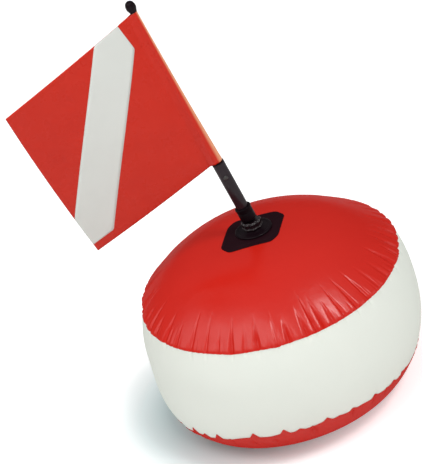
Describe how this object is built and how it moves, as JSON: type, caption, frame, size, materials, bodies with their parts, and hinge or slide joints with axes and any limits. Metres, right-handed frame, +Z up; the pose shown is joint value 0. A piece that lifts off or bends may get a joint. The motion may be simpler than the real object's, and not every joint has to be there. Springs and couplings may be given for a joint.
{
  "type": "dive flag float",
  "caption": "Round inflatable float cushion with a domed top, a side band and a flag on a mast that tilts, pulls out and lets the flag swing.",
  "frame": {"origin": "centre of the flat that the float rests on", "axes": "+Z up through the float's middle, -X the way the mast leans and the flag flies, -Y the side seen in front"},
  "size_m": [0.4237, 0.3858, 0.6011],
  "materials": {
    "red_film": "glossy welded film",
    "white_film": "satin film",
    "black_film": "satin film",
    "black_plastic": "moulded, slightly glossy",
    "black_rubber": "smooth",
    "flag_red": "flexible sheet, satin",
    "flag_white": "flexible film, satin",
    "glass_fibre": "pultruded rod",
    "valve_plastic": "soft translucent plastic",
    "steel": "polished stainless wire and rivet",
    "ballast_metal": "plain weight",
    "webbing": "woven strap"
  },
  "bodies": {
    "float": {"top_panel": "red_film", "side_band": "white_film", "bottom_panel": "red_film", "ballast_weight": "ballast_metal", "ballast_pocket": "black_film", "mast_patch": "black_film", "mast_foot": "black_plastic", "valve_stem": "valve_plastic", "valve_strap": "valve_plastic", "line_patch": "black_film", "line_tab": "webbing"},
    "nut": {"clamp_nut": "black_plastic"},
    "socket": {"mast_socket": "black_rubber"},
    "mast": {"mast_tube": "black_plastic", "tube_plug": "black_plastic", "rod_bush": "black_plastic", "mast_rivet": "steel", "flag_rod": "glass_fibre", "mast_cap": "black_plastic"},
    "flag": {"flag_sheet": "flag_red", "flag_stripe_front": "flag_white", "flag_stripe_back": "flag_white"},
    "flap": {"valve_flap": "valve_plastic"},
    "valve_lid": {"valve_cap": "valve_plastic"},
    "ring": {"line_ring": "steel"}
  },
  "joints": [
    {"name": "nut_turn", "type": "hinge", "parent": "float", "child": "nut", "pos_m": [0.002, 0, 0.2653], "axis": [0, 0, 1], "range_deg": [0, 360]},
    {"name": "mast_tilt", "type": "hinge", "parent": "float", "child": "socket", "pos_m": [0.002, 0, 0.2653], "axis": [0, 1, 0], "range_deg": [-2.7, 21.3]},
    {"name": "mast_pull", "type": "slide", "parent": "socket", "child": "mast", "axis": [-0.1616, 0, 0.9869], "range_m": [0, 0.018]},
    {"name": "flag_swing", "type": "hinge", "parent": "mast", "child": "flag", "pos_m": [0.002, 0, 0.2653], "axis": [-0.1616, 0, 0.9869], "continuous": true},
    {"name": "flap_open", "type": "hinge", "parent": "float", "child": "flap", "pos_m": [0.08477, 0.15843, 0.12767], "axis": [0.0163, 0.0282, -0.9995], "range_deg": [0, 35], "stiffness_Nm_per_rad": 0.0002},
    {"name": "lid_open", "type": "hinge", "parent": "float", "child": "valve_lid", "pos_m": [0.0905, 0.18174, 0.12842], "axis": [-0.0163, -0.0282, 0.9995], "range_deg": [0, 135]},
    {"name": "ring_swing", "type": "hinge", "parent": "float", "child": "ring", "pos_m": [0, 0.19233, 0.086], "axis": [1, 0, 0], "range_deg": [-10, 150]}
  ]
}
